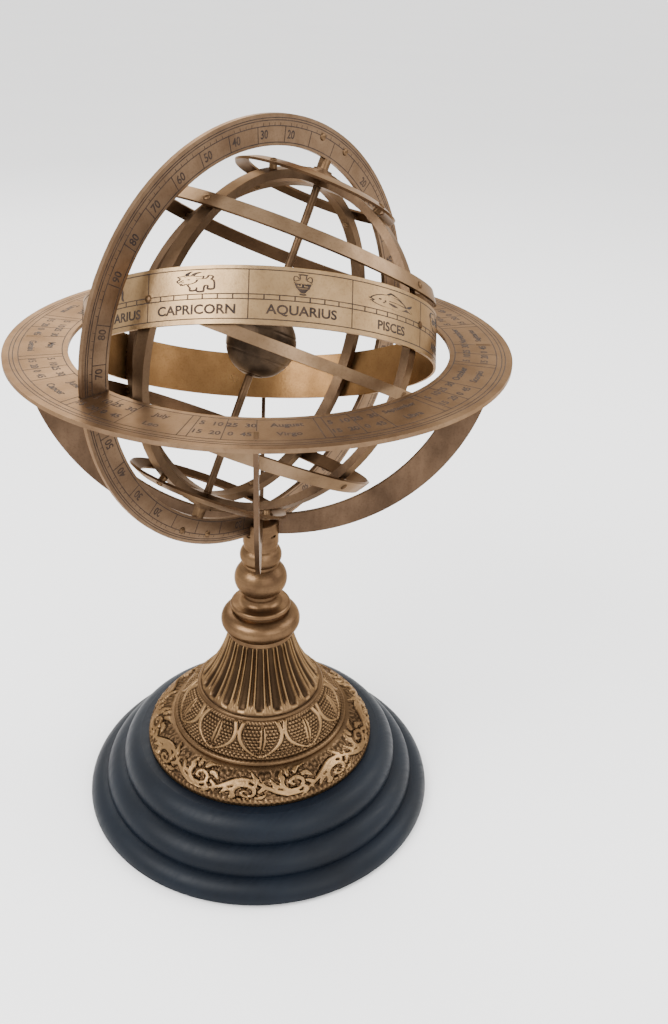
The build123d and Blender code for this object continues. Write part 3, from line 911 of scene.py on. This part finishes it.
def rivet(name, low, high, shank, spacer=None):
    """A rivet along z, domed over at each end; a spacer tube is given as (radius, low, high)."""
    dome = [
        (head_radius * math.sin(math.radians(a)), head_rise * math.cos(math.radians(a)))
        for a in dome_angles
    ]
    outline = [(max(r, axis_gap), high + rise) for r, rise in dome]
    outline += [(head_radius, high), (shank, high)]
    if spacer:
        outline += [(shank, spacer[2]), (spacer[0], spacer[2]), (spacer[0], spacer[1]), (shank, spacer[1])]
    outline += [(shank, low), (head_radius, low)]
    outline += [(max(r, axis_gap), low - rise) for r, rise in reversed(dome)]
    return spun_piece(name, list(reversed(outline)), rivet_steps)


at_poles = Matrix.Translation(globe_centre) @ Matrix.Rotation(pole_tilt, 4, "Y")
rivets = []
for pole in (0, 180):
    for side in (-1, 1):
        piece = rivet("pivot_rivet", bracket_rivet_low, bracket_rivet_high, bracket_shank)
        turn = math.radians(pole + side * bracket_rivet_turn)
        piece.data.transform(
            at_poles @ Matrix.Rotation(turn, 4, "Y") @ Matrix.Translation((0, 0, bracket_rivet_radius))
            @ Matrix.Rotation(math.radians(-90), 4, "X")
        )
        rivets.append(piece)


def finished(piece, name, node, finish, body):
    """A shaped piece that stands for a CAD node, smooth but for its real edges."""
    piece.name = name
    clear_selection()
    piece.select_set(True)
    bpy.context.view_layer.objects.active = piece
    bpy.ops.object.shade_smooth_by_angle(angle=math.radians(40))
    piece.data.materials.clear()
    piece.data.materials.append(finish)
    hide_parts(node)
    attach(piece, body)


finished(joined(rivets), "pivot_rivets_domed", "pivot_rivets", fitting_finish, "meridian")


# Polar rod, caps and colures: a drawn brass rod whose turned-down ends are the pivots, a stepped turned cap
# at each pole, and two flat brass hoops halved into each other where they cross on the rod.
rod_finish = aged_brass(
    "rod_brass", (0.033, 0.019, 0.011, 1), (0.097, 0.058, 0.031, 1), gloss=0.34, cloud=0.02,
    stroke_size=0.003,
)
for node in ("polar_rod", "north_pole_cap", "south_pole_cap"):
    coat(node, rod_finish)
colure_finish = aged_brass(
    "colure_brass", (0.038, 0.022, 0.013, 1), (0.108, 0.067, 0.038, 1), gloss=0.36, cloud=0.028,
    stroke=(1, 1, 0.3), stroke_size=0.005,
)
coat("equinoctial_colure", colure_finish)
coat("solstitial_colure", colure_finish)


# Earth ball: a brass ball bored through and pushed on the rod with a close fit, and left dark. Three fine
# lines are turned in it on either side of its equator.
ball_radius = 0.017
ball_steps = 96
row_step = 2  # degrees of latitude
rod_hole_radius = 0.00195
hole_margin = 0.0002  # no row of the ball comes nearer to the bore
line_latitudes = (6, 24, 66)
line_depth = 0.00025
dent_depth = 0.00012
dent_waves = 140  # per metre
ball_outline = [(rod_hole_radius, -math.sqrt(ball_radius**2 - rod_hole_radius**2))]
for latitude in range(-82, 83, row_step):
    turn = math.radians(latitude)
    reach = ball_radius - (line_depth if abs(latitude) in line_latitudes else 0)
    if math.cos(turn) * reach > rod_hole_radius + hole_margin:
        ball_outline.append((math.cos(turn) * reach, math.sin(turn) * reach))
ball_outline.append((rod_hole_radius, -ball_outline[0][1]))
ball_outline.append(ball_outline[0])
ball = spun_piece("earth_ball_turned", ball_outline, ball_steps)
for corner in ball.data.vertices:
    dent = noise.noise(corner.co * dent_waves) * dent_depth
    corner.co -= corner.co.normalized() * abs(dent)
ball.data.transform(at_poles)
finished(
    ball, "earth_ball_turned", "earth_ball",
    aged_brass(
        "earth_brass", (0.015, 0.010, 0.007, 1), (0.055, 0.035, 0.021, 1), gloss=0.36, cloud=0.010,
        stroke_size=0.002,
    ),
    "sphere",
)


# Bands of latitude: brass strip rolled into hoops, with shade painted on the inner faces that look in at
# the globe's centre.
# The equator lies on the colures, and the tropics and polar circles stand off them on the rivets' spacers.
# painted shade: how much darker the bands' inner faces are drawn than their outer faces
band_painted_shade = (0.42, 0.36, 0.32, 1)
facing_blend = 0.02  # how fast the painted shade gives way, round the edges


def outside_light(finish, dark):
    """Paints shade on the faces that look in at the globe's centre, which lie in the sphere's own shadow.
    """
    nodes, links = finish.node_tree.nodes, finish.node_tree.links
    shader = nodes["Principled BSDF"]
    place = nodes.new("ShaderNodeTexCoord")
    from_centre = nodes.new("ShaderNodeVectorMath")
    from_centre.operation = "SUBTRACT"
    from_centre.inputs[1].default_value = globe_centre
    links.new(place.outputs["Object"], from_centre.inputs[0])
    facing = nodes.new("ShaderNodeVectorMath")
    facing.operation = "DOT_PRODUCT"
    links.new(from_centre.outputs["Vector"], facing.inputs[0])
    links.new(place.outputs["Normal"], facing.inputs[1])
    tint = graded(nodes, links, facing.outputs["Value"], [(0.0, dark), (facing_blend, untinted)])
    plain = shader.inputs["Base Color"].links[0].from_socket
    links.new(mixed(nodes, links, "MULTIPLY", 1.0, plain, tint), shader.inputs["Base Color"])
    return finish


band_finish = outside_light(
    aged_brass(
        "band_brass", (0.094, 0.058, 0.032, 1), (0.197, 0.129, 0.076, 1), gloss=0.32, cloud=0.03,
        stroke=(1, 1, 0.4), stroke_size=0.006,
    ),
    band_painted_shade,
)
for node in (
    "equator_band", "north_tropic_band", "south_tropic_band", "north_polar_band", "south_polar_band",
):
    coat(node, band_finish)


# Zodiac band: a broad strip of brass, riveted over the equator where they cross and to the colure at the
# solstices. It is etched all round with the twelve signs, each a figure over its name.
# painted shade, lighter than the bands', on the zodiac band's inner face that looks in at the globe's
# centre
zodiac_painted_shade = (0.80, 0.66, 0.50, 1)
coat(
    "zodiac_band",
    outside_light(
        aged_brass(
            "zodiac_brass", (0.158, 0.098, 0.048, 1), (0.262, 0.172, 0.089, 1), gloss=0.30, cloud=0.035,
            stroke=(1, 1, 1), stroke_size=0.008,
        ),
        zodiac_painted_shade,
    ),
)
obliquity = 22.0  # degrees between the zodiac and the equator
colure_turn = 6.5
solstice_turn = colure_turn + 90
zodiac_radius = 0.083955
zodiac_place = (
    at_poles @ Matrix.Rotation(math.radians(solstice_turn), 4, "Z")
    @ Matrix.Rotation(math.radians(obliquity), 4, "Y")
)
zodiac_steps = 180
border_heights = (0.0103, -0.0099)
scale_heights = (0.0002, -0.0018)
figure_height = 0.0052
figure_capital = 0.0062
name_height = -0.0060
name_capital = 0.0039
name_stretch = 1.12
sign_sweep = 30  # degrees
dashes = 6  # of the scale, between two signs' borders
dash_share = 1.4  # of an etched line's width
signs = [
    # name, figure, how much wider than tall the figure is drawn
    ("LIBRA", "⚖", 1.6), ("SCORPIO", "🦂", 2.2), ("SAGITTARIUS", "🏹", 1.9),
    ("CAPRICORN", "🐐", 2.6), ("AQUARIUS", "🏺", 1.5), ("PISCES", "🐟", 2.7),
    ("ARIES", "🐏", 2.2), ("TAURUS", "🐂", 2.4), ("GEMINI", "👭", 1.7),
    ("CANCER", "🦀", 2.0), ("LEO", "🦁", 1.5), ("VIRGO", "👩", 1.4),
]


def on_zodiac(turn, height):
    """Letters that read from outside the band, with their tops to its northern edge."""

    def place(x, y, z):
        angle = math.radians(turn) + x / zodiac_radius
        reach = zodiac_radius + face_shift + z
        return Vector((reach * math.cos(angle), reach * math.sin(angle), height + y))

    return place


wax = [
    etched_circle(
        zodiac_radius - wax_depth, zodiac_radius + wax_rise,
        height - half_line, height + half_line, zodiac_steps,
    )
    for height in border_heights + scale_heights
]
for number, (sign, figure, stretch) in enumerate(signs):
    middle = sign_sweep * (number + 0.5)
    name = letters(sign, name_capital, name_stretch, etched_bold)
    wax.append(placed(name, on_zodiac(middle, name_height)))
    wax.append(placed(letters(figure, figure_capital, stretch), on_zodiac(middle, figure_height)))
    line = bar(etched_line, border_heights[0] - border_heights[1])
    wax.append(placed(line, on_zodiac(sign_sweep * number, (border_heights[0] + border_heights[1]) / 2)))
    for step in range(1, dashes + 1):
        dash = bar(etched_line * dash_share, scale_heights[0] - scale_heights[1])
        turn = sign_sweep * (number + step / (dashes + 1))
        wax.append(placed(dash, on_zodiac(turn, (scale_heights[0] + scale_heights[1]) / 2)))
etching = joined(wax)
etching.data.transform(zodiac_place)
coated_wax(etching, "zodiac_etching", "sphere")


# Rivets of the sphere: one through each crossing of a band and a colure, with a short spacer tube round
# the shank where the band stands off the hoop. At the equinoxes they hold equator and zodiac together.
shank_radius = 0.0009
tropic_latitude, polar_latitude = 34.2, 64
inner_seat = 0.07735  # the seats are the distances from the globe's centre at which the heads lie
band_seat, zodiac_seat, equator_seat = 0.085455, 0.084005, 0.082755
spacer_radius = 0.0018
spacer_low, band_spacer_high, zodiac_spacer_high = 0.08147, 0.08413, 0.08268
band_spacer = (spacer_radius, spacer_low, band_spacer_high)
zodiac_spacer = (spacer_radius, spacer_low, zodiac_spacer_high)


def sphere_rivet(turn, latitude, seat, spacer=None):
    """A rivet that points away from the globe's centre; turns count from the first colure."""
    piece = rivet("sphere_rivet", inner_seat, seat, shank_radius, spacer)
    piece.data.transform(
        at_poles @ Matrix.Rotation(math.radians(colure_turn + turn), 4, "Z")
        @ Matrix.Rotation(math.radians(90 - latitude), 4, "Y")
    )
    return piece


rivets = [
    sphere_rivet(90 * quarter, latitude, band_seat, band_spacer)
    for latitude in (tropic_latitude, -tropic_latitude, polar_latitude, -polar_latitude)
    for quarter in range(4)
]
for quarter in range(4):
    rivets.append(sphere_rivet(90 * quarter, 0, (zodiac_seat, equator_seat)[quarter % 2]))
finished(joined(rivets), "band_rivets_domed", "band_rivets", fitting_finish, "sphere")
rivets = [
    sphere_rivet(turn, latitude, zodiac_seat, zodiac_spacer)
    for turn, latitude in ((90, -obliquity), (270, obliquity))
]
finished(joined(rivets), "zodiac_rivets_domed", "zodiac_rivets", fitting_finish, "sphere")
